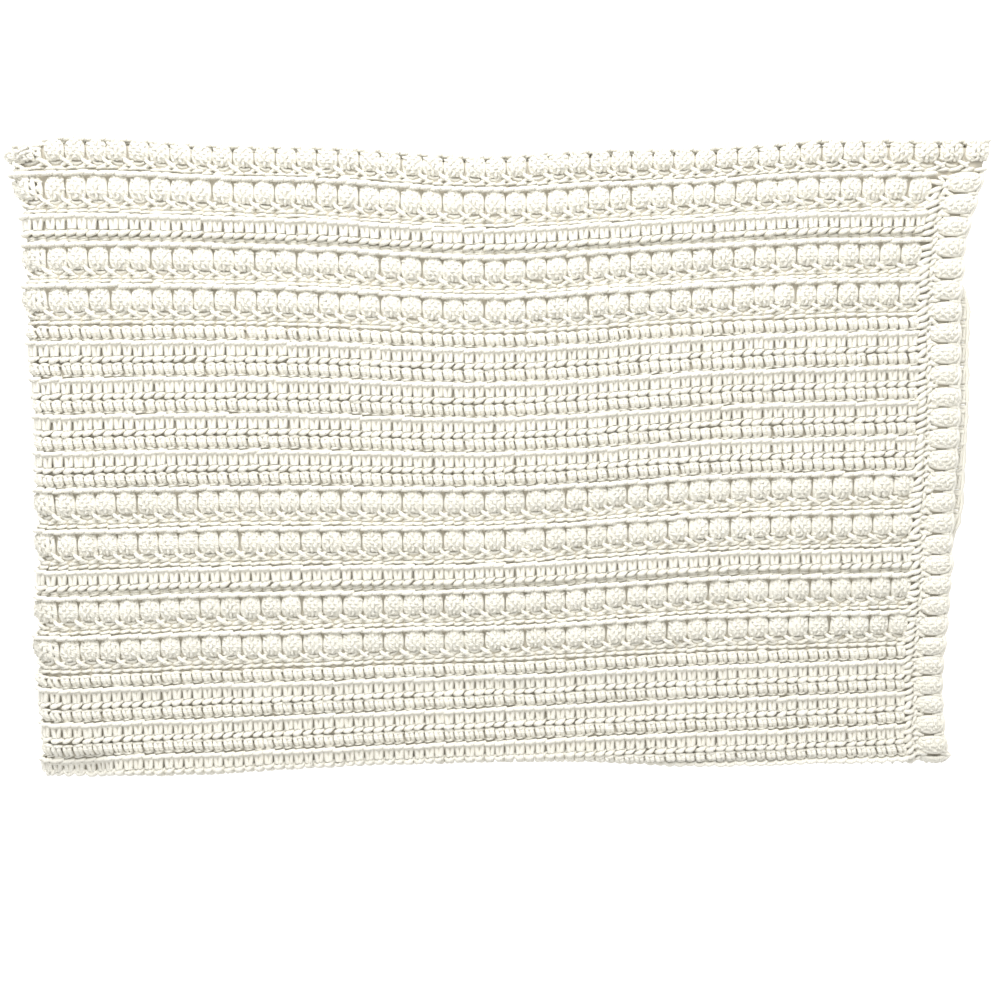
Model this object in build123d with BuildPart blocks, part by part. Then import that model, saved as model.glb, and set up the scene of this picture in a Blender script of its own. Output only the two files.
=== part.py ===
"""A crocheted throw blanket, folded in four.

The cloth is folded in half along its rows (the near folds), and that
double cloth is folded in half again across its rows (the left folds), so
four layers lie on each other. Each layer is made of its bands of rows and
the two borders that it keeps, and the folds join the layers.

Frame: +X along the rows, from the left folds to the side borders. +Y across
the rows, from the near folds to the far borders. +Z up. The origin is in the
middle of the folded blanket's footprint, on the surface that it lies on.
"""

from build123d import *
import os

# Driving dimensions, in millimetres.
row_length = 698.0  # field rows, from the left folds' tangent to the side border
layer_thickness = 10.0  # one layer, from its back to the top of a bobble
layer_gap = 0.5  # air between two layers
valley_depth = 3.5  # from the top of a bobble down to the cloth between two rows
ridge_drop = 1.5  # from the top of a bobble down to the top of a plain row
border_drop = 1.0  # from the top of a bobble down to the top of the border's puffs
bobble_row = 32.0  # width of one row of bobbles
single_row = 21.3  # width of a lone ridge row with its top stitches
ridge_row = 16.7  # row A of the plain bands, under a raised ridge
post_row = 12.0  # row B of the plain bands, of plain posts
middle_pairs = 4  # rows A and B worked in turn in the middle band
near_band_width = 82.0  # plain rows between the last bobbles and the near folds
far_border_width = 22.0  # border along the last row
side_border_width = 35.0  # border along the row ends
row_spread = 0.027  # rows lie this share wider apart at one end, closer at the other
fold_slack = 0.25  # half the air inside the tightest fold

# How far each layer's side border and far border stand past the shortest layer's.
side_stagger = {"bottom": 6.0, "second": 2.0, "third": 9.0, "top": 0.0}
far_stagger = {"bottom": 3.0, "second": 0.0, "third": 2.0, "top": 4.0}
# Which way the rows spread: wider at the left (1) on the outer layers, closer on the inner
# ones, so that each row runs on round the near fold and the left fold.
spread_way = {"bottom": 1, "second": -1, "third": -1, "top": 1}

# Heights of the layers, and of the cloth above a layer's back.
ground_thickness = layer_thickness - valley_depth
ridge_crown = layer_thickness - ridge_drop
border_crown = layer_thickness - border_drop
layer_pitch = layer_thickness + layer_gap
stack_height = 3 * layer_pitch + layer_thickness
layer_floor = {
    "bottom": 0.0,
    "second": layer_pitch,
    "third": 2 * layer_pitch,
    "top": 3 * layer_pitch,
}
fold_height = stack_height / 2  # the left folds' axis
lower_turn_height = (layer_pitch + layer_thickness) / 2  # the lower near fold's axis
upper_turn_height = stack_height - lower_turn_height
outer_radius = stack_height / 2
inner_radius = layer_thickness + fold_slack

# The bands of one layer, from the far border to the near fold: name, rows, crown.
middle_rows = [post_row] + [ridge_row, post_row] * middle_pairs
bands = [
    ("bobble_row_far", [bobble_row], layer_thickness),
    ("ridge_row_far", [single_row], ridge_crown),
    ("bobble_pair_far", [bobble_row] * 2, layer_thickness),
    ("ridge_band_middle", middle_rows, ridge_crown),
    ("bobble_pair_middle", [bobble_row] * 2, layer_thickness),
    ("ridge_row_near", [single_row], ridge_crown),
    ("bobble_pair_near", [bobble_row] * 2, layer_thickness),
]
banded_width = sum(sum(rows) for name, rows, crown in bands)
near_band_rows = round(near_band_width / (ridge_row + post_row) * 2)

# The footprint and the places of the folds.
field_width = banded_width + near_band_width
overall_length = outer_radius + row_length + side_border_width + max(side_stagger.values())
overall_width = inner_radius + field_width + far_border_width + max(far_stagger.values())
fold_x = outer_radius - overall_length / 2
turn_y = inner_radius - overall_width / 2
field_far_y = turn_y + field_width
border_x = fold_x + row_length

os.makedirs("parts", exist_ok=True)


def save(part, name):
    """Labels a piece and writes its STEP file."""
    part.label = name
    export_step(part, f"parts/{name}.step")


def profile(stations, crown, layer):
    """The outline of one layer's section over the stations between its rows.

    Each row is an arch from station to station. It stands up from the
    layer's back on the second and top layers, hangs down on the third, whose
    right side faces down, and is pressed flat on the bottom one.
    """
    if layer == "third":
        back = layer_floor[layer] + layer_thickness
        side = -1
    else:
        back = layer_floor[layer]
        side = 1
    ground = back + side * ground_thickness
    top = back + side * crown
    first = stations[0]
    last = stations[-1]
    with BuildLine() as outline:
        if layer == "bottom":
            Polyline(
                (first, back),
                (first, back + layer_thickness),
                (last, back + layer_thickness),
                (last, back),
                close=True,
            )
        else:
            Line((last, ground), (last, back))
            Line((last, back), (first, back))
            Line((first, back), (first, ground))
            for start, end in zip(stations, stations[1:]):
                ThreePointArc((start, ground), ((start + end) / 2, top), (end, ground))
    return outline.edges()


def spread_stations(start, rows, spread):
    """Places of the row edges, in Y, going from the far border to the near fold."""
    stations = [start]
    for row in rows:
        stations.append(stations[-1] - row * (1 + spread))
    return stations


def row_band(name, layer, left_stations, right_stations, crown):
    """One band of rows, between its row edges at the left fold and at the side border."""
    right_x = border_x + side_stagger[layer]
    with BuildPart() as band:
        if layer == "bottom":
            with BuildSketch(Plane.XY.offset(layer_floor[layer])):
                make_face(pressed_outline(left_stations, right_stations, right_x))
            extrude(amount=layer_thickness)
        else:
            with BuildSketch(Plane.YZ.offset(fold_x)):
                make_face(profile(left_stations, crown, layer))
            with BuildSketch(Plane.YZ.offset(right_x)):
                make_face(profile(right_stations, crown, layer))
            loft(ruled=True)
    save(band.part, f"{layer}_{name}")


def pressed_outline(left_stations, right_stations, right_x):
    """The plan of a band of the bottom layer, which the others press flat."""
    with BuildLine() as outline:
        Polyline(
            (fold_x, left_stations[0]),
            (right_x, right_stations[0]),
            (right_x, right_stations[-1]),
            (fold_x, left_stations[-1]),
            close=True,
        )
    return outline.edges()


def near_ridge_band(layer, left_start, right_start):
    """The plain rows that run into the near fold, which cuts the last one."""
    left_row = (left_start - turn_y) / near_band_rows
    right_row = (right_start - turn_y) / near_band_rows
    left_stations = [left_start - n * left_row for n in range(near_band_rows + 1)]
    right_stations = [right_start - n * right_row for n in range(near_band_rows + 1)]
    row_band("ridge_band_near", layer, left_stations, right_stations, ridge_crown)


def far_border(layer):
    """The border along the last row, with the corner where it meets the side border."""
    end = border_x + side_border_width + side_stagger[layer]
    far_y = field_far_y + far_border_width + far_stagger[layer]
    with BuildPart() as border:
        with BuildSketch(Plane.YZ.offset(fold_x)):
            make_face(profile([far_y, field_far_y], border_crown, layer))
        extrude(amount=end - fold_x)
    save(border.part, f"{layer}_far_border")


def side_border(layer):
    """The border along the row ends: the join to the rows, then the puffs."""
    start = border_x + side_stagger[layer]
    end = start + side_border_width
    join = start + side_border_width / 3
    with BuildPart() as border:
        with BuildSketch(Plane.XZ.offset(-field_far_y)):
            make_face(profile([start, join, end], border_crown, layer))
        extrude(amount=field_width)
    save(border.part, f"{layer}_side_border")


def half_ring(centre_across, centre_height, outside, inside):
    """The outline of half a ring, on the side of its centre that comes first."""
    with BuildLine() as outline:
        CenterArc((centre_across, centre_height), outside, 90, 180)
        Line((centre_across, centre_height - outside), (centre_across, centre_height - inside))
        CenterArc((centre_across, centre_height), inside, 90, 180)
        Line((centre_across, centre_height + inside), (centre_across, centre_height + outside))
    return outline.edges()


def near_fold(name, height, end):
    """A half tube that joins two layers along the near edge."""
    with BuildPart() as fold:
        with BuildSketch(Plane.YZ.offset(fold_x)):
            make_face(half_ring(turn_y, height, inner_radius, fold_slack))
        extrude(amount=end - fold_x)
    save(fold.part, name)


def left_fold(name, outside, inside):
    """A half tube that joins two layers along the left edge."""
    far_y = field_far_y + far_border_width
    with BuildPart() as fold:
        with BuildSketch(Plane.XZ.offset(-far_y)):
            make_face(half_ring(fold_x, fold_height, outside, inside))
        extrude(amount=far_y - turn_y)
    save(fold.part, name)


# The four layers.
for layer_name in layer_floor:
    far_border(layer_name)
    side_border(layer_name)
    left_edge = field_far_y
    right_edge = field_far_y
    for band_name, band_rows, band_crown in bands:
        spread = spread_way[layer_name] * row_spread
        left_places = spread_stations(left_edge, band_rows, spread)
        right_places = spread_stations(right_edge, band_rows, -spread)
        row_band(band_name, layer_name, left_places, right_places, band_crown)
        left_edge = left_places[-1]
        right_edge = right_places[-1]
    near_ridge_band(layer_name, left_edge, right_edge)

# The near folds, which join the two layers of each half.
lower_end = border_x + side_border_width + min(side_stagger["bottom"], side_stagger["second"])
upper_end = border_x + side_border_width + min(side_stagger["third"], side_stagger["top"])
near_fold("lower_near_fold", lower_turn_height, lower_end)
near_fold("upper_near_fold", upper_turn_height, upper_end)

# The left folds, which join the two halves: one wraps round the other.
left_fold("outer_left_fold", outer_radius, outer_radius - layer_thickness)
left_fold("inner_left_fold", inner_radius, fold_slack)

# The corner where the near folds turn into each other round the left folds.
with BuildPart() as corner:
    with BuildSketch(Plane.YZ.offset(fold_x)):
        make_face(half_ring(turn_y, lower_turn_height, inner_radius, fold_slack))
    revolve(axis=Axis((fold_x, 0, fold_height), (0, 1, 0)), revolution_arc=180)
save(corner.part, "centre_corner")
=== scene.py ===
"""A crocheted throw blanket, folded in four: its yarn, its finish and the studio around it.

The cloth is first laid out flat, in its own measures and in millimetres: s runs along the rows
from the left folds, t runs across the rows from the field's far edge, and h is the height above
the cloth's back. ClothShape then folds those measures round the near and left folds, into the
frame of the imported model, and YarnPiece turns the strands into tubes of yarn.
"""

import logging
import math
from dataclasses import dataclass, field, replace
from enum import Enum

import bmesh
import bpy
import numpy as np
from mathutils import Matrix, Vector

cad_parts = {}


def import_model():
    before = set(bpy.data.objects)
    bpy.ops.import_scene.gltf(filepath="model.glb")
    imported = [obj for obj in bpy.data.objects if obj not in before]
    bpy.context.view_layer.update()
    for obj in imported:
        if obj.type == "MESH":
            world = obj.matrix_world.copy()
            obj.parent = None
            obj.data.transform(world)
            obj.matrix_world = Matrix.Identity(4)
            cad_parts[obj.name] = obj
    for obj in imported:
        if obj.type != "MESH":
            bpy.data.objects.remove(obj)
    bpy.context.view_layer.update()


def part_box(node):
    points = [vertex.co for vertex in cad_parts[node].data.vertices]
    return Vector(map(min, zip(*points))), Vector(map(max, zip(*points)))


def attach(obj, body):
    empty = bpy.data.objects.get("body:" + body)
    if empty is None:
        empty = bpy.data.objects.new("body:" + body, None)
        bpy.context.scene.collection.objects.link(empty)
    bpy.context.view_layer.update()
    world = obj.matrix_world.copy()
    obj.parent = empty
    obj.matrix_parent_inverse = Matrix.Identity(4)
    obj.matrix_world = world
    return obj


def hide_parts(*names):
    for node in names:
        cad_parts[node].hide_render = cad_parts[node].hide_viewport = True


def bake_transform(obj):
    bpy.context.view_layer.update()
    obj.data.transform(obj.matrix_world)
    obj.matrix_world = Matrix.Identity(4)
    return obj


MM = 0.001
LOWER_HALF = "lower_half"
UPPER_HALF = "upper_half"
YARN_NAME = "yarn_"
WHITE = (1.0, 1.0, 1.0, 1.0)
log = logging.getLogger("throw")


class Layer(Enum):
    """The four layers of the folded cloth, named as their nodes are."""

    BOTTOM = "bottom"
    SECOND = "second"
    THIRD = "third"
    TOP = "top"

    @property
    def body(self) -> str:
        """The body that the layer rides on."""
        return LOWER_HALF if self in (Layer.BOTTOM, Layer.SECOND) else UPPER_HALF

    @property
    def lower(self) -> bool:
        """Whether the layer belongs to the half that stays put."""
        return self.body == LOWER_HALF

    @property
    def inner(self) -> bool:
        """Whether the layer lies inside the last fold."""
        return self in (Layer.SECOND, Layer.THIRD)


class Detail(Enum):
    """How finely a layer's yarn is made: sides, steps between two points, rows of short strands."""

    SHOWN = (1, 2, 6)
    OPENED = (0, 1, 3)
    UNDER = (0, 1, 0)

    @property
    def rings(self) -> int:
        """Extra sides of the tube, as the curve's bevel counts them."""
        return self.value[0]

    @property
    def steps(self) -> int:
        """Steps between two control points."""
        return self.value[1]

    @property
    def knot_rows(self) -> int:
        """Rows of short strands over a bobble."""
        return self.value[2]


DETAIL = {
    Layer.TOP: Detail.SHOWN,
    Layer.THIRD: Detail.OPENED,
    Layer.SECOND: Detail.OPENED,
    Layer.BOTTOM: Detail.UNDER,
}


def ease(value: np.ndarray, start: float, end: float) -> np.ndarray:
    """A smooth step from 0 at the start to 1 at the end."""
    share = np.clip((value - start) / (end - start), 0.0, 1.0)
    return share * share * (3.0 - 2.0 * share)


@dataclass(frozen=True)
class Bump:
    """A smooth bump along some measure: its height there, its middle and its reach."""

    height: float
    middle: float
    reach: float

    def at(self, value: np.ndarray) -> np.ndarray:
        """How high the bump is at each value."""
        return self.height * np.exp(-(((value - self.middle) / self.reach) ** 2))


@dataclass(frozen=True)
class Ripple:
    """A sine wave along some measure: its height, its radians in one unit, and its start."""

    height: float
    rate: float
    start: float

    def at(self, value: np.ndarray) -> np.ndarray:
        """How high the ripple is at each value."""
        return self.height * np.sin(value * self.rate + self.start)


@dataclass(frozen=True)
class Slump:
    """How the soft stack lies unevenly, in millimetres.

    The far rows sag, and the middle ones lull, towards the near edge. The near fold bellies out and
    draws in, and its lower half peeks out on the right. The far corners and the side border flare
    out, the left folds bulge with slack, and the near left corner drops and slides out. The bumps
    and ripples run over the share of the row or of the field, but flares and lull over millimetres.
    """

    sag: Bump = Bump(12.0, 0.515, 0.2)
    sag_span: tuple = (60.0, 440.0)
    lull: Bump = Bump(2.6, 325.0, 100.0)
    lull_lost: Bump = Bump(0.8, 0.76, 0.16)
    belly: Bump = Bump(9.0, 0.1, 0.17)
    hollow: Bump = Bump(3.2, 0.56, 0.16)
    near_peek: float = 2.6
    peek_span: tuple = (0.76, 0.92)
    left_flare: Bump = Bump(14.0, 0.0, 42.0)
    left_slack: float = 5.0
    slack_share: float = 0.5
    slack_bumps: tuple = (Bump(0.6, 0.2, 0.09), Bump(0.7, 0.8, 0.12))
    left_ripples: tuple = (Ripple(1.4, 9.0, 0.6), Ripple(0.9, 21.0, 2.0))
    right_flare: Bump = Bump(17.0, 0.0, 50.0)
    near_flare: Bump = Bump(6.5, 1.03, 0.04)
    waist: Bump = Bump(6.0, 0.83, 0.12)
    right_ripple: Ripple = Ripple(0.9, 17.0, 1.0)
    far_ripples: tuple = (Ripple(1.6, 12.0, math.pi / 2.0), Ripple(1.2, 23.0, 0.0))
    far_fade: float = 60.0
    corner_drop: float = 0.78
    corner_slide: float = 4.5
    slide_span: tuple = (-10.0, 40.0)
    lump: float = 1.5

    def down_rows(self, along: np.ndarray, t: np.ndarray) -> np.ndarray:
        """How far a place on a row lies nearer than it would on a straight row."""
        start, end = self.sag_span
        left_of_sag = np.clip((end - t) / (end - start), 0.0, 1.0)
        return self.sag.at(along) * left_of_sag + self.lull.at(t) * (1.0 - self.lull_lost.at(along))

    def fold_line(self, along: np.ndarray, lower: bool) -> np.ndarray:
        """How far out a near fold lies."""
        peek = self.near_peek * ease(along, *self.peek_span) * (1.0 if lower else -1.0)
        return self.belly.at(along) - self.hollow.at(along) + peek

    def left_edge(self, from_far: np.ndarray, across: np.ndarray) -> np.ndarray:
        """How far out the left folds lie."""
        slack = self.slack_share + sum(bulge.at(across) for bulge in self.slack_bumps)
        wave = sum(ripple.at(across) for ripple in self.left_ripples)
        return self.left_flare.at(from_far) + self.left_slack * slack + wave

    def right_edge(self, from_far: np.ndarray, across: np.ndarray) -> np.ndarray:
        """How far out the side border lies."""
        flare = self.right_flare.at(from_far) + self.near_flare.at(across)
        return flare - self.waist.at(across) + self.right_ripple.at(across)

    def far_edge(self, along: np.ndarray, from_far: np.ndarray) -> np.ndarray:
        """How far out the far edge lies."""
        wave = sum(ripple.at(along) for ripple in self.far_ripples)
        return np.exp(-from_far / self.far_fade) * wave

    def height(self, x: np.ndarray, y: np.ndarray) -> np.ndarray:
        """The slow unevenness of the top, about zero."""
        lumps = np.sin(x * 0.031 + 1.3 * np.sin(y * 0.021))
        lumps += np.sin(y * 0.043 + 1.7 * np.sin(x * 0.017 + 0.8))
        lumps += 0.6 * np.sin(x * 0.083 + y * 0.071)
        return self.lump * lumps / 2.6


@dataclass(frozen=True)
class ClothShape:
    """Where the folded cloth lies, in millimetres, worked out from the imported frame.

    Attributes:
        fold_x, fold_z: where the left folds start, and the height of their middle.
        turn_y, far_y: where the near folds start, and the field's far edge.
        slack: how far the layers' backs lie from the middle of their pair.
        row_spread: how much further apart the top rows lie at the left than in the middle.
        row_share: how far apart they lie in the middle, as a share of their true widths.
        rest: how high the yarn that would sink into the floor is kept above it.
        tucked_spans: where the lower layers show at the side, past the far edge: from, to.
        near_shown: where the bottom one shows again, before the near fold.
        corner_x, corner_y: where the dropped corner ends, past the folds.
    """

    fold_x: float
    fold_z: float
    turn_y: float
    far_y: float
    row_length: float
    field_width: float
    side_border: dict
    side_end: dict
    far_border: float
    far_end: dict
    layer_thickness: float
    slack: float
    slump: Slump = Slump()
    stitches: int = 84
    row_spread: float = 0.031
    row_share: float = 0.996
    rest: float = 2.2
    outer_wrap_stitches: int = 6
    inner_wrap_stitches: int = 2
    turn_radius: float = 7.5
    tucked_spans: tuple = (80.0, 105.0, 275.0, 305.0)
    near_shown: tuple = (40.0, 10.0)
    corner_x: tuple = (22.0, 46.0)
    corner_y: tuple = (-10.0, 11.0)

    @classmethod
    def from_frame(cls) -> "ClothShape":
        """Reads the folds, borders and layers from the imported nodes.

        Returns:
            The shape, in millimetres.
        """
        band_low, band_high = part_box("top_ridge_band_middle")
        near_low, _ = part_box("top_ridge_band_near")
        _, row_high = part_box("top_bobble_row_far")
        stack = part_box("outer_left_fold")[1].z / MM
        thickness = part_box("bottom_far_border")[1].z / MM
        third_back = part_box("third_far_border")[1].z / MM
        borders = {layer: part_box(f"{layer.value}_side_border") for layer in Layer}
        fars = {layer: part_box(f"{layer.value}_far_border") for layer in Layer}
        return cls(
            fold_x=band_low.x / MM,
            fold_z=stack / 2,
            turn_y=near_low.y / MM,
            far_y=row_high.y / MM,
            row_length=(band_high.x - band_low.x) / MM,
            field_width=(row_high.y - near_low.y) / MM,
            side_border={layer: box[0].x / MM for layer, box in borders.items()},
            side_end={layer: box[1].x / MM for layer, box in borders.items()},
            far_border=fars[Layer.SECOND][1].y / MM - row_high.y / MM,
            far_end={layer: box[1].y / MM for layer, box in fars.items()},
            layer_thickness=thickness,
            slack=(stack - thickness - third_back) / 2,
        )

    @property
    def pitch(self) -> float:
        """The width of one stitch."""
        return self.row_length / self.stitches

    @property
    def turn_length(self) -> float:
        """The cloth that goes round a near fold."""
        return math.pi * self.turn_radius

    def wrap_length(self, layer: Layer) -> float:
        """The cloth that goes round the left fold beside that layer."""
        count = self.inner_wrap_stitches if layer.inner else self.outer_wrap_stitches
        return count * self.pitch

    def across(self, layer: Layer, s: np.ndarray, t: np.ndarray, in_rows: bool) -> np.ndarray:
        """How far past the near fold's line a place lies, less than nothing before it.

        Args:
            layer: the layer that the place is on.
            s: places along the row.
            t: places across the rows.
            in_rows: whether t follows the spread and sag of the rows.

        Returns:
            The distance past the fold's line, in millimetres.
        """
        along = np.clip(s / self.row_length, 0.0, 1.0)
        width = self.field_width + self.slump.fold_line(along, layer.lower)
        out = t
        if in_rows:
            spread = self.row_spread * (1.0 - 2.0 * along) * (-1.0 if layer.inner else 1.0)
            out = np.where(t > 0.0, t * (self.row_share + spread), t) + self.slump.down_rows(along, t)
        else:
            around = 2.0 * self.field_width + self.turn_length - t
            lower = -self.slump.down_rows(along, around)
            out = t + np.where(t < around, self.slump.down_rows(along, t), lower)
        if layer.inner or not in_rows:
            before = out < self.field_width
            out = np.where(before, out * width / self.field_width, out + width - self.field_width)
        return out - width

    def place(self, layer: Layer, points: np.ndarray, in_rows: bool = True) -> np.ndarray:
        """Folds cloth measures into the frame.

        Args:
            layer: the layer that the points start on.
            points: an array of s, t and h in its last axis.
            in_rows: whether t follows the spread and sag of the rows.

        Returns:
            The places, in metres, in an array of the same shape.
        """
        s, h = points[..., 0], points[..., 2]
        past = self.across(layer, s, points[..., 1], in_rows)
        along = np.clip(s / self.row_length, 0.0, 1.0)
        fold_y = self.turn_y - self.slump.fold_line(along, layer.lower)
        turn = np.clip(past / self.turn_radius, 0.0, math.pi)
        beyond = np.maximum(past - self.turn_length, 0.0)
        reach = self.slack + h
        y = np.where(past > 0.0, fold_y - reach * np.sin(turn) + beyond, fold_y - past)
        rise = reach * np.cos(turn) * (-1.0 if layer.inner else 1.0)
        height = 2.0 * self.slack + self.layer_thickness + rise
        wrap_turn = np.clip(-s / self.wrap_length(layer), 0.0, 1.0) * math.pi
        x = self.fold_x + np.maximum(s, 0.0) - height * np.sin(wrap_turn)
        z = height * np.cos(wrap_turn) * (-1.0 if layer.lower else 1.0)
        x -= self.tucked(layer, along, y)
        return self.settle(x, y, self.fold_z + z) * MM

    def tucked(self, layer: Layer, along: np.ndarray, y: np.ndarray) -> np.ndarray:
        """How far a layer's side border is tucked in under the top one's, but in the middle."""
        from_far = self.far_y - y
        start, full, fade, gone = self.tucked_spans
        shown = ease(from_far, start, full) * (1.0 - ease(from_far, fade, gone))
        if layer is Layer.BOTTOM:
            near = self.field_width - from_far
            shown = shown + 1.0 - ease(near, self.near_shown[1], self.near_shown[0])
        spare = self.side_end[layer] - self.side_end[Layer.TOP]
        return spare * (1.0 - shown) * ease(along, 0.85, 1.0)

    def settle(self, x: np.ndarray, y: np.ndarray, z: np.ndarray) -> np.ndarray:
        """Lets the whole stack slump, edge by edge.

        Args:
            x: places along the rows.
            y: places across them.
            z: heights above the floor.

        Returns:
            The settled places, with x, y and z in the last axis.
        """
        across = np.clip((self.far_y - y) / self.field_width, -0.05, 1.05)
        from_far = np.maximum(self.far_y + self.far_border - y, 0.0)
        left = np.clip((self.fold_x - x) / (2.0 * self.layer_thickness), 0.0, 1.2)
        right = np.clip(((x - self.fold_x) / self.row_length - 0.93) / 0.12, 0.0, 1.0)
        new_x = x - left * self.slump.left_edge(from_far, across)
        new_x = new_x + right * self.slump.right_edge(from_far, across)
        past_fold = x - self.fold_x
        new_y = y + self.slump.far_edge(past_fold / self.row_length, from_far)
        at_corner = 1.0 - ease(past_fold, *self.corner_x)
        at_corner = at_corner * (1.0 - ease(y - self.turn_y, *self.corner_y))
        slide = self.slump.corner_slide * at_corner
        new_y = new_y - slide
        new_x = new_x - slide * (1.0 - ease(past_fold, *self.slump.slide_span))
        dropped = z - self.slump.corner_drop * at_corner * np.maximum(z - self.fold_z, 0.0)
        new_z = np.maximum(dropped * (1.0 + self.slump.height(x, y) / (2.0 * self.fold_z)), 0.0)
        return np.stack((new_x, new_y, new_z + self.rest * np.exp(-new_z / self.rest)), axis=-1)


@dataclass
class StrandSet:
    """Strands of yarn that have the same number of points: their places and radii."""

    points: np.ndarray
    radii: np.ndarray


@dataclass(frozen=True)
class Strand:
    """One strand of a stitch, by a few points about the stitch's own middle and far edge.

    Attributes:
        points: s, t and h of each control point, in millimetres.
        thick: the yarn's radius in the middle.
        ends: the share of that radius left at the two ends.
        spin: how far each copy may turn about its own middle, in degrees.
    """

    points: tuple
    thick: float
    ends: float = 0.75
    spin: float = 0.0

    def radii(self) -> np.ndarray:
        """The radius at each point: full in the middle and thinner at the ends."""
        out = np.full(len(self.points), self.thick)
        out[0] *= self.ends
        out[-1] *= self.ends
        return out


class Stitcher:
    """Repeats the strands of a stitch along a row, each copy a little uneven."""

    def __init__(self, seed: int) -> None:
        """Starts the row's own seeded unevenness."""
        self.rng = np.random.default_rng(seed)

    def repeat(
        self, strands: list, middles: np.ndarray, t: float = 0.0, loose: float = 0.28, turned: bool = False
    ) -> list:
        """Copies a stitch's strands to every middle.

        Args:
            strands: the stitch's strands.
            middles: places of the stitches along the row.
            t: place of the stitches' far edge across the rows.
            loose: how far a stitch may stray, in millimetres.
            turned: whether the row runs across the cloth, as the side border's does.

        Returns:
            One StrandSet for each strand of the stitch.
        """
        count = len(middles)
        stray = self.rng.normal(0.0, loose, (count, 1, 3)) * np.array((1.0, 1.0, 0.7))
        out = []
        for strand in strands:
            base = np.array(strand.points, float)
            places = np.repeat(base[None], count, axis=0)
            if strand.spin:
                places = self.spun(places, strand.spin)
            places += stray + self.rng.normal(0.0, loose * 0.45, places.shape)
            places[..., 0] += middles[:, None]
            places[..., 1] += t
            if turned:
                places = places[..., [1, 0, 2]]
            swell = self.rng.normal(1.0, 0.07, (count, 1))
            out.append(StrandSet(places, strand.radii()[None] * swell))
        return out

    def spun(self, places: np.ndarray, spin: float) -> np.ndarray:
        """Turns each copy of a strand about its own middle, in the plane of the cloth.

        Args:
            places: the copies' points.
            spin: the usual turn, in degrees.

        Returns:
            The turned points.
        """
        turn = np.radians(self.rng.normal(0.0, spin, (len(places), 1)))
        flat = places[..., 0] + 1j * places[..., 1]
        middle = flat.mean(axis=1, keepdims=True)
        flat = middle + (flat - middle) * np.exp(1j * turn)
        return np.stack((flat.real, flat.imag, places[..., 2]), axis=-1)


@dataclass(frozen=True)
class PlainStitches:
    """The strands of the plain rows: the ridged row, the row of posts, and the dashes."""

    post: float = 2.15
    leaf: float = 2.3
    ridge: float = 2.05

    def ridge_loop(self, t: float, h: float) -> list:
        """One loop of the chain that makes a ridge, laid along the row."""
        return [
            Strand(
                ((-5.2, t + 0.9, h - 2.2), (-2.3, t + 0.4, h), (2.3, t - 0.3, h), (5.2, t - 0.7, h - 2.2)),
                self.ridge, 0.7,
            ),
        ]

    def ridged(self) -> list:
        """A recessed post under the ridge, and the slanting loops that close it."""
        return [
            Strand(((-5.0, 4.9, 4.4), (-2.2, 4.4, 6.0), (2.2, 3.8, 6.0), (5.0, 3.4, 4.4)), 1.8, 0.8),
            Strand(((-2.2, 3.0, 5.6), (-1.9, 7.4, 6.2), (-1.2, 12.4, 6.6)), self.post + 0.1, 0.95),
            Strand(((2.2, 3.0, 5.6), (2.0, 7.4, 6.2), (1.5, 12.2, 6.6)), self.post + 0.1, 0.95),
            Strand(
                ((-4.5, 16.9, 3.4), (-2.3, 16.0, 7.8), (1.3, 14.7, 8.0), (4.4, 13.4, 4.2)),
                self.leaf, 0.5, 4.0,
            ),
            Strand(((-3.8, 13.0, 3.8), (-1.2, 12.2, 7.6), (2.9, 13.8, 4.6)), self.post - 0.2, 0.6, 6.0),
        ]

    def posts(self) -> list:
        """A bulging post, which leans: its two sides, and the loop over its top."""
        return [
            Strand(
                ((-2.6, 2.9, 5.0), (-2.2, 4.6, 7.0), (-1.4, 6.8, 7.0), (-0.8, 9.6, 5.0)), self.post, 0.8,
            ),
            Strand(((1.0, 2.7, 5.0), (1.3, 4.4, 7.2), (2.0, 6.6, 7.0), (2.6, 9.4, 5.0)), self.post, 0.8),
            Strand(((-3.9, 3.2, 3.8), (-1.4, 2.3, 7.2), (1.6, 2.3, 7.2), (3.9, 3.2, 3.8)), 1.7, 0.6, 4.0),
        ]

    def dashes(self, t: float, h: float = 5.8, thick: float = 1.9) -> list:
        """One short strand of the flat row at the foot of a ridge.

        Args:
            t: its place across the rows.
            h: its height.
            thick: its radius.
        """
        points = ((-3.8, t + 0.5, h - 3.4), (0.0, t, h + 3.4), (3.8, t - 0.5, h - 3.4))
        return [Strand(points, thick, 0.75, 5.0)]


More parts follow.
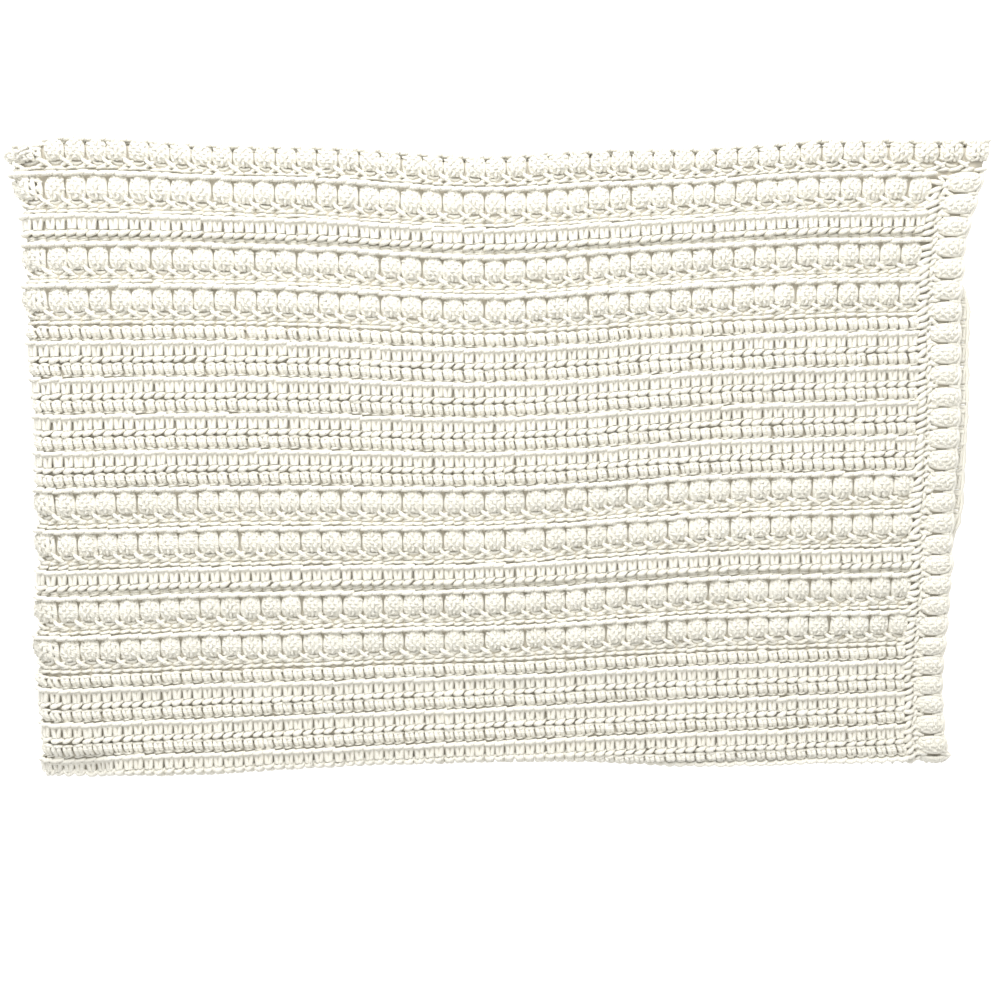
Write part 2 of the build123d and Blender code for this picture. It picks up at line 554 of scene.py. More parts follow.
@dataclass(frozen=True)
class BobbleStitches:
    """The strands of a bobble, two stitches wide, and of what holds it below.

    Attributes:
        half: half the bobble's width, between the middles of its outer strands.
        top: place of its far end across the row, and length: how long it is.
        crown: height of the middles of its long strands, and strand: their radius.
        knot: radius of its short strands, and reach: half their length.
        slant: how much they slant, in degrees, and scatter: how unevenly.
        lift: how far their middles stand out.
        floor: height of the bobble's two ends.
    """

    half: float = 6.3
    top: float = 3.0
    length: float = 17.8
    crown: float = 7.3
    strand: float = 2.05
    knot: float = 1.75
    reach: float = 2.0
    slant: float = 48.0
    scatter: float = 38.0
    lift: float = 2.3
    floor: float = 3.6

    def rise(self, share: float) -> float:
        """How high the bobble stands at a share of its length: 0 to 1."""
        return max(1.0 - abs(2.0 * share - 1.02) ** 3.2, 0.0)

    def body(self, lay: float = 1.0) -> list:
        """Five long strands that bulge side by side.

        Args:
            lay: 1 where both ends tuck under alike, less where the far end rolls down.
        """
        out = []
        for place in (-1.0, -0.52, 0.0, 0.52, 1.0):
            points = []
            for share, pull in ((0.0, 0.5), (0.2, 0.86), (0.5, 1.0), (0.8, 1.0), (1.0, 0.82)):
                rise = self.rise(share) * (lay if share < 0.4 else 1.0)
                h = self.floor + (self.crown - self.floor) * rise - 1.7 * place * place
                points.append((place * self.half * pull, self.top + self.length * share, h))
            out.append(Strand(tuple(points), self.strand, 0.85))
        return out

    def knots(self, rows: int) -> list:
        """Short slanting strands all over the bobble, one way and the other.

        Args:
            rows: how many rows of them there are, of two and of three in turn.
        """
        out = []
        for row in range(rows):
            count = 2 + row % 2
            share = (row + 0.55) / rows
            rise = self.floor + (self.crown - self.floor) * self.rise(share)
            for column in range(count):
                place = (2.0 * column / (count - 1) - 1.0) * (0.82 if count > 2 else 0.4)
                way = 1.0 if (row + column) % 2 else -1.0
                turn = math.radians(self.slant) * way
                s_half, t_half = self.reach * math.cos(turn), self.reach * math.sin(turn)
                s, t = place * self.half, self.top + self.length * share
                h = rise - 2.2 * place * place + 1.2
                ends = ((s - s_half, t - t_half, h - 1.8), (s + s_half, t + t_half, h - 1.8))
                points = (ends[0], (s, t, h + self.lift), ends[1])
                out.append(Strand(points, self.knot, 0.75, self.scatter))
        return out

    def foot(self, shift: float) -> list:
        """The crossed strands between two bobbles, and the loop in the shade under one.

        Args:
            shift: how far the cross lies from the bobble's middle.
        """
        end = self.top + self.length
        return [
            Strand(
                (
                    (shift - 4.0, end - 0.6, 3.4), (shift - 2.0, end + 1.2, 6.4),
                    (shift + 1.6, end + 3.4, 6.6), (shift + 4.2, end + 5.4, 4.0),
                ),
                1.8,
            ),
            Strand(
                ((shift + 3.4, end + 0.6, 3.6), (shift, end + 3.0, 7.0), (shift - 4.2, end + 5.4, 4.2)),
                1.85,
            ),
            Strand(
                ((-4.6, end + 1.8, 2.4), (-0.6, end + 4.0, 3.6), (4.2, end + 2.2, 2.4)), 1.9, 0.75, 12.0
            ),
        ]


@dataclass(frozen=True)
class BorderStitches:
    """The strands of the side border, one puff's length of it: t runs along it, s outwards."""

    pitch: float = 16.9
    join: float = 11.0
    tip: float = 1.6

    def puff(self, width: float) -> BobbleStitches:
        """The puff, which lies along the rows."""
        length = width - self.join - self.tip
        return BobbleStitches(
            top=self.join - 1.5, length=length, half=5.9, slant=30.0, scatter=34.0, lift=3.0
        )

    def joins(self) -> list:
        """The slanting strands that join the border to the rows."""
        slants = (
            ((2.6, -2.4, 3.8), (1.0, 1.0, 7.8), (-1.6, 4.2, 7.6), (-3.0, 6.8, 3.8)),
            ((8.2, -2.4, 3.8), (6.4, 1.4, 7.4), (4.4, 4.4, 7.4), (2.8, 7.2, 3.8)),
            ((13.4, -2.4, 3.6), (12.2, 1.0, 7.2), (9.8, 4.2, 7.4), (8.2, 6.8, 3.8)),
        )
        feet = (
            (((-2.4, 5.6, 3.4), (-4.2, 8.0, 7.6), (-6.4, 11.6, 4.2)), 2.1, 26.0),
            (((4.8, 5.4, 3.4), (2.2, 8.6, 7.4), (-0.4, 11.8, 4.2)), 2.1, 26.0),
            (((8.4, 5.4, 3.4), (9.2, 8.4, 7.0), (5.8, 11.4, 4.2)), 2.0, 26.0),
            (((-5.0, 3.4, 3.4), (-1.6, 6.4, 5.8), (1.6, 9.6, 3.8)), 2.0, 20.0),
            (((6.6, 8.6, 3.4), (8.6, 11.6, 7.2), (8.4, 16.0, 3.8)), 2.2, 12.0),
            (((10.6, 8.0, 3.2), (8.0, 10.0, 6.2), (4.4, 11.4, 3.8)), 2.0, 20.0),
        )
        out = [Strand(points, 2.2, 0.7, 16.0) for points in slants]
        return out + [Strand(points, thick, 0.7, spin) for points, thick, spin in feet]

    def tips(self, width: float) -> list:
        """The loops that close a puff at the border's edge."""
        return [
            Strand(((6.4, width - 8.6, 5.2), (4.4, width - 2.4, 7.2), (-2.4, width - 2.6, 4.2)), 1.8),
            Strand(((7.0, width - 5.2, 3.2), (0.4, width - 0.8, 4.8), (-7.4, width - 3.6, 2.8)), 1.9),
            Strand(
                (
                    (-9.6, width - 2.8, 2.4), (-3.0, width - 1.3, 3.4),
                    (3.0, width - 1.3, 3.4), (9.6, width - 2.8, 2.4),
                ),
                2.0,
            ),
            Strand(
                ((9.0, width - 10.0, 3.2), (8.4, width - 6.0, 5.2), (8.8, width - 1.8, 3.0)), 1.9, 0.8, 10.0
            ),
        ]


@dataclass(frozen=True)
class RowKind:
    """A kind of row: its name and its width across the cloth, in millimetres."""

    name: str
    width: float


POST_ROW = RowKind("posts", 12.0)
RIDGE_ROW = RowKind("ridge", 16.7)
SINGLE_ROW = RowKind("single", 21.3)
BOBBLE_ROW = RowKind("bobbles", 32.0)

BANDS = (
    ("bobble_row_far", (BOBBLE_ROW,)),
    ("ridge_row_far", (SINGLE_ROW,)),
    ("bobble_pair_far", (BOBBLE_ROW, BOBBLE_ROW)),
    ("ridge_band_middle", (POST_ROW,) + (RIDGE_ROW, POST_ROW) * 4),
    ("bobble_pair_middle", (BOBBLE_ROW, BOBBLE_ROW)),
    ("ridge_row_near", (SINGLE_ROW,)),
    ("bobble_pair_near", (BOBBLE_ROW, BOBBLE_ROW)),
    ("ridge_band_near", (POST_ROW, RIDGE_ROW) * 3),
)
TURN_ROWS = (POST_ROW, RIDGE_ROW)
FIELD_ROWS = tuple(kind for _, kinds in BANDS for kind in kinds)
FIELD_ROWS_WIDTH = sum(kind.width for kind in FIELD_ROWS)

LAYER_SEED = 1000
FAR_SEED = 50
SIDE_SEED = 60
TURN_SEED = 7000
TURN_SIDE_SEED = 7100
FOLD_SEED = 8000
CORNER_SEED = 9000


@dataclass(frozen=True)
class Stretch:
    """A stretch of a row: its two ends, how finely it is made, and what seeds its unevenness."""

    start: float
    end: float
    detail: Detail
    seed: int

    def spaced(self, pitch: float) -> np.ndarray:
        """Middles of as many equal steps, near the pitch, as fit into it."""
        count = max(int(round((self.end - self.start) / pitch)), 1)
        return self.start + (np.arange(count) + 0.5) * (self.end - self.start) / count


@dataclass
class Rows:
    """Makes the strands of whole rows over a stretch of the cloth."""

    shape: ClothShape
    plain: PlainStitches = field(default_factory=PlainStitches)
    bobble: BobbleStitches = field(default_factory=BobbleStitches)
    border: BorderStitches = field(default_factory=BorderStitches)

    def middles(self, stretch: Stretch, stitches: int = 1) -> np.ndarray:
        """Middles of the stitches, or of each few of them, along a stretch."""
        return stretch.spaced(self.shape.pitch * stitches)

    def row(self, kind: RowKind, stretch: Stretch, t: float) -> list:
        """The strands of one row.

        Args:
            kind: the kind of row.
            stretch: the stretch of it.
            t: its far edge, across the rows.

        Returns:
            The row's strand sets.
        """
        hand = Stitcher(stretch.seed)
        singles = self.middles(stretch)
        if kind is POST_ROW:
            return hand.repeat(self.plain.posts() + self.plain.dashes(11.2, 5.8, 1.55), singles, t)
        ridge = self.plain.ridge_loop(2.0, 8.4)
        if kind is RIDGE_ROW:
            return hand.repeat(ridge + self.plain.ridged(), singles, t)
        if kind is SINGLE_ROW:
            out = hand.repeat(ridge + self.plain.ridged(), singles, t)
            flat = self.plain.dashes(18.6, 5.0, 1.9) + self.plain.dashes(20.9, 5.2, 1.6)
            return out + hand.repeat(flat, singles, t)
        out = hand.repeat(ridge, singles, t)
        out += self.puffs(hand, self.bobble, self.middles(stretch, 2), t, stretch.detail)
        low = self.bobble.top + self.bobble.length
        flat = self.plain.dashes(low + 6.2, 4.3, 2.3) + self.plain.dashes(low + 9.8, 5.9, 1.95)
        return out + hand.repeat(flat, singles, t)

    def puffs(
        self, hand: Stitcher, bobble: BobbleStitches, middles: np.ndarray, t: float, detail: Detail,
        lay: float = 1.0, turned: bool = False, last_foot: bool = True,
    ) -> list:
        """Bobbles with their short strands and what holds them.

        Args:
            hand: the row's own unevenness.
            bobble: the bobble.
            middles: the bobbles' middles.
            t: the bobbles' place across.
            detail: how much of them is made.
            lay: as in BobbleStitches.body.
            turned: as in Stitcher.repeat.
            last_foot: whether the last one has a foot beside it.

        Returns:
            The strand sets.
        """
        strands = bobble.body(lay) + bobble.knots(detail.knot_rows)
        out = hand.repeat(strands, middles, t, 0.3, turned)
        if not turned:
            feet = middles if last_foot else middles[:-1]
            out += hand.repeat(bobble.foot(self.shape.pitch + 0.6), feet, t, 0.3)
        return out

    def far_border(self, stretch: Stretch, end_y: float) -> list:
        """The puffs along the far edge, which roll down over it.

        Args:
            stretch: the stretch of the border.
            end_y: where its far edge lies.

        Returns:
            The border's strand sets.
        """
        hand = Stitcher(stretch.seed)
        width = end_y - self.shape.far_y
        singles = self.middles(stretch)
        bobble = BobbleStitches(top=2.4, length=width - 11.0, crown=7.2)
        pairs, wrapped = self.middles(stretch, 2), stretch.start < 0.0
        out = self.puffs(hand, bobble, pairs, -width, stretch.detail, 0.6, last_foot=wrapped)
        out += hand.repeat(self.plain.ridge_loop(1.8 - width, 4.6), singles)
        out += hand.repeat(self.plain.dashes(2.6 - width, 1.8), singles)
        return out + hand.repeat(self.plain.dashes(-1.9, 6.0), singles)

    def side_border(self, layer: Layer, stretch: Stretch) -> list:
        """The border along the row ends: slanting joins, then puffs that lie along the rows.

        Args:
            layer: the layer that it is on.
            stretch: the stretch of it, across the rows.

        Returns:
            The border's strand sets.
        """
        hand = Stitcher(stretch.seed)
        middles = stretch.spaced(self.border.pitch)
        inside = self.shape.side_border[layer] - self.shape.fold_x
        width = self.shape.side_end[layer] - self.shape.side_border[layer]
        out = hand.repeat(self.border.joins(), middles, inside, turned=True)
        out += self.puffs(hand, self.border.puff(width), middles, inside, stretch.detail, turned=True)
        return out + hand.repeat(self.border.tips(width), middles, inside, turned=True)


def add_node(
    tree: bpy.types.NodeTree, kind: str, inputs: dict, **settings: object
) -> bpy.types.Node:
    """Adds a shader node.

    Args:
        tree: the tree.
        kind: its type, without the ShaderNode in front.
        inputs: for each input's name or place, its value or the socket that feeds it.
        settings: its own settings.

    Returns:
        The node.
    """
    node = tree.nodes.new("ShaderNode" + kind)
    for name, value in settings.items():
        setattr(node, name, value)
    for name, value in inputs.items():
        if isinstance(value, bpy.types.NodeSocket):
            tree.links.new(value, node.inputs[name])
        else:
            node.inputs[name].default_value = value
    return node


def add_math(tree: bpy.types.NodeTree, operation: str, *values: object) -> bpy.types.NodeSocket:
    """Adds a math node with those inputs, and gives its output."""
    return add_node(tree, "Math", dict(enumerate(values)), operation=operation).outputs["Value"]


@dataclass(frozen=True)
class YarnFinish:
    """Soft, matt, plied cream yarn.

    Attributes:
        name: the material's name.
        light: colour of the yarn between its slow patches, linear.
        deep: colour of the slow patches, at random, where it is spun thicker or takes colour deeper,
            linear.
        rough: roughness of the open face.
        fuzz: roughness of the fuzzy places.
        shine: its specular level.
        sheen: how much its fluff glows at its edges, and sheen_rough: how widely.
        twist: turns of the plies in a millimetre of yarn.
        fibre: height of the fibres, against the plies'.
        relief: depth of the bump, in metres, and strength: how much of it is taken.
    """

    name: str
    light: tuple
    deep: tuple
    rough: float = 0.82
    fuzz: float = 0.97
    shine: float = 0.2
    sheen: float = 0.12
    sheen_rough: float = 0.6
    twist: float = 0.16
    fibre: float = 0.45
    relief: float = 0.0005
    strength: float = 0.8

    def material(self) -> bpy.types.Material:
        """Builds the material."""
        made = bpy.data.materials.new(self.name)
        made.use_nodes = True
        tree = made.node_tree
        tree.nodes.clear()
        plies = add_node(tree, "Group", {}, node_tree=ply_group())
        plies.inputs["Turns"].default_value = self.twist
        fluff = add_node(tree, "Group", {}, node_tree=fluff_group())
        colours = {"A": (*self.light, 1.0), "B": (*self.deep, 1.0), "Factor": fluff.outputs["Patch"]}
        mixed = add_node(tree, "Mix", colours, data_type="RGBA")
        roughs = {"To Min": self.rough, "To Max": self.fuzz, "Value": fluff.outputs["Fibre"]}
        fibre, ply = fluff.outputs["Fibre"], plies.outputs["Height"]
        height = add_math(tree, "MULTIPLY_ADD", fibre, self.fibre, ply)
        bump = {"Strength": self.strength, "Distance": self.relief, "Height": height}
        shader = add_node(tree, "BsdfPrincipled", {
            "Base Color": mixed.outputs["Result"],
            "Roughness": add_node(tree, "MapRange", roughs).outputs["Result"],
            "Normal": add_node(tree, "Bump", bump).outputs["Normal"],
            "Specular IOR Level": self.shine,
            "Sheen Weight": self.sheen,
            "Sheen Roughness": self.sheen_rough,
        })
        add_node(tree, "OutputMaterial", {"Surface": shader.outputs["BSDF"]})
        return made


def new_group(name: str, inputs: dict, outputs: tuple) -> bpy.types.NodeTree:
    """Makes an empty shader group with float sockets.

    Args:
        name: the group's name.
        inputs: each input's name and value.
        outputs: the names of the outputs.

    Returns:
        The group's node tree, with its input and output nodes named after their type.
    """
    tree = bpy.data.node_groups.new(name, "ShaderNodeTree")
    for label, value in inputs.items():
        socket = tree.interface.new_socket(label, in_out="INPUT", socket_type="NodeSocketFloat")
        socket.default_value = value
    for label in outputs:
        tree.interface.new_socket(label, in_out="OUTPUT", socket_type="NodeSocketFloat")
    tree.nodes.new("NodeGroupInput")
    tree.nodes.new("NodeGroupOutput")
    return tree


def ply_group() -> bpy.types.NodeTree:
    """The twisted plies of a yarn, as a height that follows its own length and girth."""
    if "yarn_plies" in bpy.data.node_groups:
        return bpy.data.node_groups["yarn_plies"]
    tree = new_group("yarn_plies", {"Turns": 0.16, "Plies": 3.0}, ("Height",))
    source, sink = tree.nodes["Group Input"], tree.nodes["Group Output"]
    place = add_node(tree, "UVMap", {}, uv_map="UVMap")
    split = add_node(tree, "SeparateXYZ", {"Vector": place.outputs["UV"]})
    along = add_math(tree, "MULTIPLY", split.outputs["X"], source.outputs["Turns"])
    turns = add_math(tree, "ADD", along, split.outputs["Y"])
    rounds = add_math(tree, "MULTIPLY", turns, source.outputs["Plies"])
    wave = add_math(tree, "SINE", add_math(tree, "MULTIPLY", rounds, math.pi))
    tree.links.new(add_math(tree, "ABSOLUTE", wave), sink.inputs["Height"])
    return tree


def fluff_group() -> bpy.types.NodeTree:
    """Fine fibres, and slow patches where the yarn is spun thicker or takes colour deeper."""
    if "yarn_fluff" in bpy.data.node_groups:
        return bpy.data.node_groups["yarn_fluff"]
    tree = new_group("yarn_fluff", {"Fibre Scale": 900.0, "Patch Scale": 60.0}, ("Fibre", "Patch"))
    source, sink = tree.nodes["Group Input"], tree.nodes["Group Output"]
    place = add_node(tree, "TexCoord", {}).outputs["Object"]
    for label, scale, detail in (("Fibre", "Fibre Scale", 3.0), ("Patch", "Patch Scale", 2.0)):
        inputs = {"Detail": detail, "Vector": place, "Scale": source.outputs[scale]}
        tree.links.new(add_node(tree, "TexNoise", inputs).outputs["Fac"], sink.inputs[label])
    return tree


def make_object(name: str, made: bmesh.types.BMesh, finish: bpy.types.Material) -> bpy.types.Object:
    """Makes a mesh object of a bmesh.

    Args:
        name: the object's name.
        made: the bmesh, which is freed.
        finish: its material.

    Returns:
        The object, at the origin.
    """
    mesh = bpy.data.meshes.new(name)
    made.to_mesh(mesh)
    made.free()
    mesh.materials.append(finish)
    out = bpy.data.objects.new(name, mesh)
    bpy.context.scene.collection.objects.link(out)
    return out


@dataclass
class YarnPiece:
    """Turns strands into one mesh of yarn tubes."""

    name: str
    detail: Detail
    finish: bpy.types.Material
    sets: list = field(default_factory=list)

    def add(self, sets: list, shape: ClothShape, layer: Layer, in_rows: bool = True) -> None:
        """Folds strand sets into the frame and keeps them.

        Args:
            sets: the strand sets, in cloth measures.
            shape: the folded shape.
            layer: the layer that they start on.
            in_rows: whether they follow the rows.
        """
        for strands in sets:
            placed = shape.place(layer, strands.points, in_rows)
            self.sets.append(StrandSet(placed, strands.radii))

    def build(self) -> bpy.types.Object:
        """Makes the object.

        Returns:
            A mesh object at the origin, with its yarn's length and girth in its UV map.
        """
        by_count = {}
        for strands in self.sets:
            by_count.setdefault(strands.points.shape[1], []).append(strands)
        joined = bmesh.new()
        for count in sorted(by_count):
            group = by_count[count]
            points = np.concatenate([strands.points for strands in group])
            radii = np.concatenate([strands.radii for strands in group])
            mesh = self.tubes(points, radii)
            joined.from_mesh(mesh)
            bpy.data.meshes.remove(mesh)
        return make_object(self.name, joined, self.finish)

    def tubes(self, points: np.ndarray, radii: np.ndarray) -> bpy.types.Mesh:
        """Sweeps the strands, all of the same number of points.

        Args:
            points: places in metres, strands by points by three.
            radii: radii in millimetres, strands by points.

        Returns:
            The tubes as one mesh.
        """
        strands, count, _ = points.shape
        curve = bpy.data.curves.new(self.name, "CURVE")
        curve.dimensions = "3D"
        curve.bevel_depth = MM
        short = count == 3
        curve.bevel_resolution = 0 if short else self.detail.rings
        curve.use_fill_caps = True
        weighted = np.concatenate((points, np.ones((strands, count, 1))), axis=-1)
        for place, thick in zip(weighted, radii):
            spline = curve.splines.new("NURBS")
            spline.points.add(count - 1)
            spline.points.foreach_set("co", place.ravel())
            spline.points.foreach_set("radius", thick)
            spline.order_u = 3
            spline.use_endpoint_u = True
            spline.resolution_u = self.detail.steps
            spline.use_smooth = True
        holder = bpy.data.objects.new(self.name + "_line", curve)
        bpy.context.scene.collection.objects.link(holder)
        graph = bpy.context.evaluated_depsgraph_get()
        mesh = bpy.data.meshes.new_from_object(holder.evaluated_get(graph))
        bpy.data.objects.remove(holder)
        bpy.data.curves.remove(curve)
        self.measure(mesh, points)
        return mesh

    @staticmethod
    def measure(mesh: bpy.types.Mesh, points: np.ndarray) -> None:
        """Stretches the UV map so that its first axis is the yarn's length in millimetres."""
        lengths = np.linalg.norm(np.diff(points, axis=1), axis=-1).sum(axis=1) / MM
        layer = mesh.uv_layers[0]
        corners = np.empty(len(layer.uv) * 2, np.float32)
        layer.uv.foreach_get("vector", corners)
        corners = corners.reshape(len(points), -1, 2)
        corners[..., 0] *= lengths[:, None]
        layer.uv.foreach_set("vector", corners.ravel())


@dataclass
class GroundCloth:
    """The close ground of the crochet, under its raised yarn: one sheet, folded in four. Its darker colour
    is painted shade for the gaps between the strands.
    """

    shape: ClothShape
    finish: bpy.types.Material
    name: str = "ground_cloth"
    height: float = 2.8
    thickness: float = 2.2
    cell: float = 9.0
    inset: float = 3.0

    @property
    def reach(self) -> float:
        """How far the sheet runs along the rows from the left fold."""
        return self.shape.side_end[Layer.TOP] - self.shape.fold_x - self.inset

    @property
    def far_reach(self) -> float:
        """How far it runs over the far edge of the field."""
        return self.shape.far_border - self.inset

    @property
    def flat(self) -> tuple:
        """The sheet's width and length laid out flat, in metres."""
        width = 2.0 * self.reach + self.shape.wrap_length(Layer.TOP)
        length = 2.0 * (self.shape.field_width + self.far_reach) + self.shape.turn_length
        return width * MM, length * MM

    def build(self) -> bpy.types.Object:
        """Makes the sheet from one grid, folded and given its thickness.

        Returns:
            A mesh object at the origin.
        """
        width, length = self.flat
        made = bmesh.new()
        columns, rows = (int(side / MM / self.cell) for side in (width, length))
        bmesh.ops.create_grid(made, x_segments=columns, y_segments=rows, size=0.5)
        shares = np.array([vert.co[:2] for vert in made.verts])
        for vert, place in zip(made.verts, self.folded(shares)):
            vert.co = place
        bmesh.ops.recalc_face_normals(made, faces=made.faces)
        bmesh.ops.solidify(made, geom=made.faces[:], thickness=self.thickness * MM)
        bmesh.ops.recalc_face_normals(made, faces=made.faces)
        out = make_object(self.name, made, self.finish)
        out.data.shade_smooth()
        return out

    def folded(self, shares: np.ndarray) -> np.ndarray:
        """Folds the flat sheet.

        Args:
            shares: places on the flat sheet, from -0.5 to 0.5 each way.

        Returns:
            The places in the frame, in metres.
        """
        width, length = self.flat
        from_middle = shares[:, 0] * width / MM
        half_wrap = self.shape.wrap_length(Layer.TOP) / 2.0
        lower = from_middle > half_wrap
        s = np.where(lower, from_middle - half_wrap, -half_wrap - from_middle)
        t = (shares[:, 1] + 0.5) * length / MM - self.far_reach
        points = np.stack((s, t, np.full_like(s, self.height)), axis=-1)
        upper_places = self.shape.place(Layer.TOP, points, in_rows=False)
        lower_places = self.shape.place(Layer.BOTTOM, points, in_rows=False)
        return np.where(lower[:, None], lower_places, upper_places)


@dataclass
class Blanket:
    """The whole folded throw: its layers of yarn, its folds and the ground cloth in them."""

    shape: ClothShape
    yarn: bpy.types.Material
    # ground: the ground cloth's darker finish, painted shade for the gaps between the strands
    ground: bpy.types.Material
    rows: Rows
    pieces: list = field(default_factory=list)

    def piece(self, node: str, detail: Detail = Detail.SHOWN) -> YarnPiece:
        """Starts the piece of yarn that stands for a node."""
        return YarnPiece(YARN_NAME + node, detail, self.yarn)

    def keep(self, made: bpy.types.Object) -> None:
        """Lets a built piece stand for its node."""
        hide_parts(made.name.removeprefix(YARN_NAME))
        self.pieces.append(made)
        log.info("%s: %d faces", made.name, len(made.data.polygons))

    def own(self, piece: YarnPiece, body: str) -> None:
        """Builds a piece that rides on one body."""
        made = piece.build()
        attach(made, body)
        self.keep(made)

    def bend(self, piece: YarnPiece) -> None:
        """Builds a piece that goes round the left fold, and bakes it as blend does."""
        made = piece.build()
        self.blend(made)
        self.keep(made)

    def blend(self, made: bpy.types.Object) -> None:
        """Bakes a piece's place into its mesh; it rides on neither half.

        Args:
            made: the piece.
        """
        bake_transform(made)

    def lay(self, piece: YarnPiece, layer: Layer, kinds: tuple, stretch: Stretch, t: float) -> float:
        """Lays rows one after another across the cloth.

        Args:
            piece: the piece that they belong to.
            layer: the layer that they start on.
            kinds: the kinds of the rows.
            stretch: the first one's stretch; the others' seeds count up from its seed.
            t: the first one's far edge, across the rows.

        Returns:
            The near edge of the last one.
        """
        for count, kind in enumerate(kinds):
            own = replace(stretch, seed=stretch.seed + count)
            piece.add(self.rows.row(kind, own, t), self.shape, layer)
            t += kind.width
        return t

    def make_layer(self, layer: Layer) -> None:
        """Makes the bands and the borders of one layer."""
        detail = DETAIL[layer]
        seed = LAYER_SEED * (1 + list(Layer).index(layer))
        end = self.shape.side_border[layer] - self.shape.fold_x
        full = self.shape.side_end[layer] - self.shape.fold_x
        t = 0.0
        for name, kinds in BANDS:
            piece = self.piece(f"{layer.value}_{name}", detail)
            t = self.lay(piece, layer, kinds, Stretch(0.0, end, detail, seed + 1), t)
            seed += len(kinds)
            self.own(piece, layer.body)
        piece = self.piece(f"{layer.value}_far_border", detail)
        stretch = Stretch(0.0, full, detail, seed + FAR_SEED)
        piece.add(self.rows.far_border(stretch, self.shape.far_end[layer]), self.shape, layer)
        self.own(piece, layer.body)
        piece = self.piece(f"{layer.value}_side_border", detail)
        stretch = Stretch(0.0, self.shape.field_width, detail, seed + SIDE_SEED)
        piece.add(self.rows.side_border(layer, stretch), self.shape, layer, in_rows=False)
        self.own(piece, layer.body)

    def make_near_fold(self, layer: Layer, node: str) -> None:
        """Makes the rows that go round the near fold from an outer layer, for that node."""
        piece = self.piece(node)
        end = self.shape.side_border[layer] - self.shape.fold_x
        self.lay(piece, layer, TURN_ROWS, Stretch(0.0, end, piece.detail, TURN_SEED), FIELD_ROWS_WIDTH)
        width = self.shape.field_width
        stretch = Stretch(width, width + self.shape.turn_length, piece.detail, TURN_SIDE_SEED)
        piece.add(self.rows.side_border(layer, stretch), self.shape, layer, in_rows=False)
        self.own(piece, layer.body)

    def make_left_fold(self, layer: Layer, node: str) -> None:
        """Makes the rows where they go round the left fold.

        Args:
            layer: the upper layer that they go round from.
            node: the node that they stand for.
        """
        piece = self.piece(node)
        stretch = Stretch(-self.shape.wrap_length(layer), 0.0, piece.detail, FOLD_SEED + 1)
        self.lay(piece, layer, FIELD_ROWS, stretch, 0.0)
        stretch = replace(stretch, seed=FOLD_SEED + len(FIELD_ROWS) + FAR_SEED)
        far_end = self.shape.far_y + self.shape.far_border
        piece.add(self.rows.far_border(stretch, far_end), self.shape, layer)
        self.bend(piece)

    def make_corner(self) -> None:
        """Makes the corner, where the near folds turn into each other round the left folds."""
        piece = self.piece("centre_corner")
        stretch = Stretch(-self.shape.wrap_length(Layer.TOP), 0.0, piece.detail, CORNER_SEED)
        self.lay(piece, Layer.TOP, TURN_ROWS, stretch, FIELD_ROWS_WIDTH)
        self.bend(piece)

    def make_ground(self) -> None:
        cloth = GroundCloth(self.shape, self.ground)
        made = cloth.build()
        self.blend(made)
        cloth.flat
        log.info("%s: %d faces", made.name, len(made.data.polygons))


@dataclass(frozen=True)
class SoftLight:
    """A square soft light that looks at the throw: its place and size in metres, and its watts."""

    name: str
    place: tuple
    size: float
    power: float

    def build(self) -> None:
        """Makes the light."""
        lamp = bpy.data.lights.new(self.name, "AREA")
        lamp.size = self.size
        lamp.energy = self.power
        holder = bpy.data.objects.new(self.name, lamp)
        holder.location = self.place
        holder.rotation_euler = Vector(self.place).to_track_quat("Z", "Y").to_euler()
        bpy.context.scene.collection.objects.link(holder)


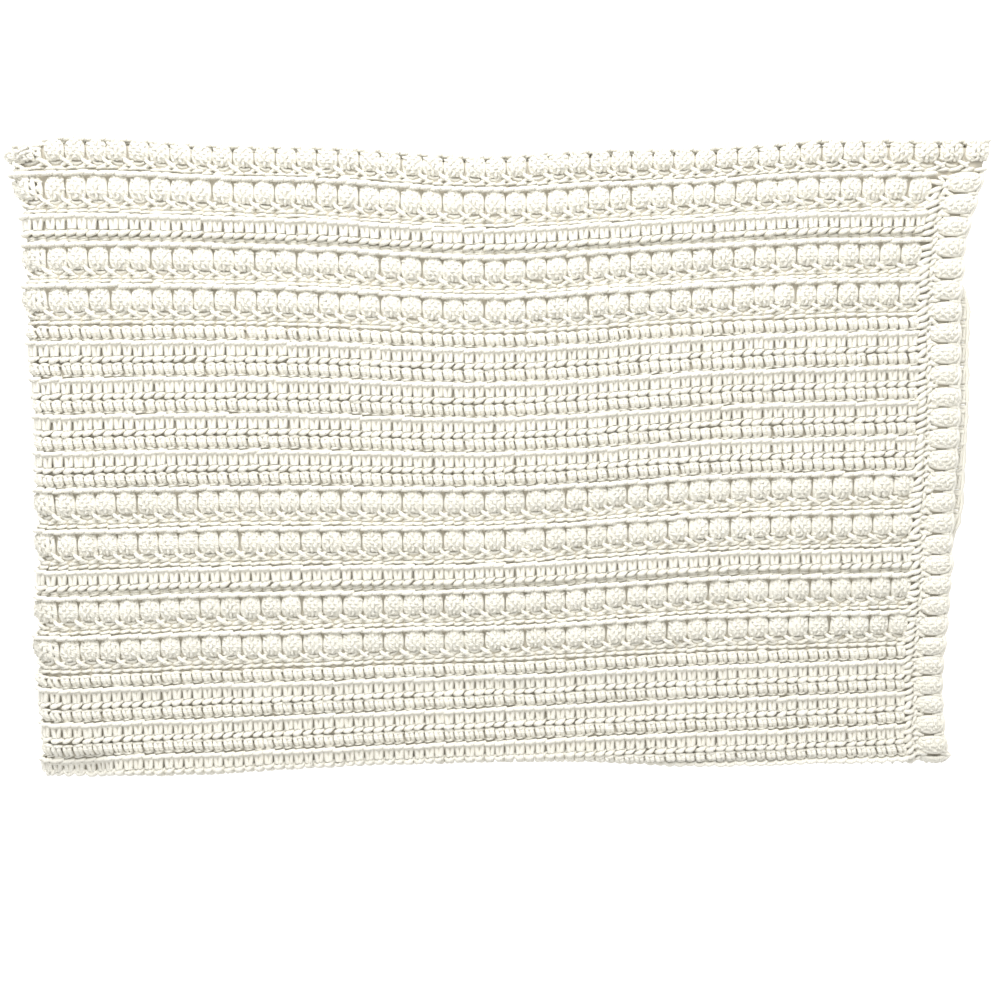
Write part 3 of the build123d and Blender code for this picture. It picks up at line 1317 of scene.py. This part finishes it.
@dataclass(frozen=True)
class Studio:
    """A plain pale floor, soft light and the camera."""

    tilt: float = math.radians(6.0)
    distance: float = 1.16
    lens: float = 51.1
    aim: tuple = (0.001, -0.0324, 0.03)
    lights: tuple = (
        SoftLight("far_window", (-0.2, 1.3, 1.15), 1.1, 32.0),
        SoftLight("overhead", (0.0, 0.1, 2.2), 1.6, 9.0),
    )
    sky: float = 0.68
    floor: float = 3.0
    floor_shade: float = 0.93
    floor_rough: float = 0.9
    floor_glow: float = 0.55

    def build(self) -> None:
        """Makes the floor, the lights, the world and the camera."""
        self.make_floor()
        for light in self.lights:
            light.build()
        world = bpy.data.worlds.new("studio")
        bpy.context.scene.world = world
        world.use_nodes = True
        world.node_tree.nodes["Background"].inputs["Color"].default_value = WHITE
        world.node_tree.nodes["Background"].inputs["Strength"].default_value = self.sky
        bpy.context.scene.view_settings.view_transform = "Standard"
        camera = bpy.data.cameras.new("camera")
        camera.lens = self.lens
        holder = bpy.data.objects.new("camera", camera)
        bpy.context.scene.collection.objects.link(holder)
        away = Vector((0.0, math.sin(self.tilt), math.cos(self.tilt)))
        holder.location = Vector(self.aim) + away * self.distance
        holder.rotation_euler = (-self.tilt, 0.0, 0.0)
        bpy.context.scene.camera = holder

    def make_floor(self) -> None:
        """A wide pale floor under the throw."""
        grown = bmesh.new()
        bmesh.ops.create_grid(grown, x_segments=1, y_segments=1, size=self.floor)
        plain = bpy.data.materials.new("pale_floor")
        plain.use_nodes = True
        shader = plain.node_tree.nodes["Principled BSDF"]
        shader.inputs["Base Color"].default_value = (*(self.floor_shade,) * 3, 1.0)
        shader.inputs["Roughness"].default_value = self.floor_rough
        shader.inputs["Emission Color"].default_value = WHITE
        shader.inputs["Emission Strength"].default_value = self.floor_glow
        make_object("floor", grown, plain)


def main() -> None:
    """Builds the throw and its studio around the frame."""
    logging.basicConfig(level=logging.INFO, format="%(name)s: %(message)s")
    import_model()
    Studio().build()
    shape = ClothShape.from_frame()
    yarn = YarnFinish("cream_yarn", (0.90, 0.88, 0.80), (0.84, 0.81, 0.71)).material()
    # The ground yarn is painted darker than the raised yarn: painted shade for the gaps between the
    # strands, where the real throw is the same cream yarn.
    ground = YarnFinish("ground_yarn", (0.60, 0.56, 0.47), (0.50, 0.46, 0.37)).material()
    blanket = Blanket(shape, yarn, ground, Rows(shape))
    for layer in Layer:
        blanket.make_layer(layer)
    blanket.make_near_fold(Layer.BOTTOM, "lower_near_fold")
    blanket.make_near_fold(Layer.TOP, "upper_near_fold")
    blanket.make_left_fold(Layer.TOP, "outer_left_fold")
    blanket.make_left_fold(Layer.THIRD, "inner_left_fold")
    blanket.make_corner()
    blanket.make_ground()


if __name__ == "__main__":
    main()
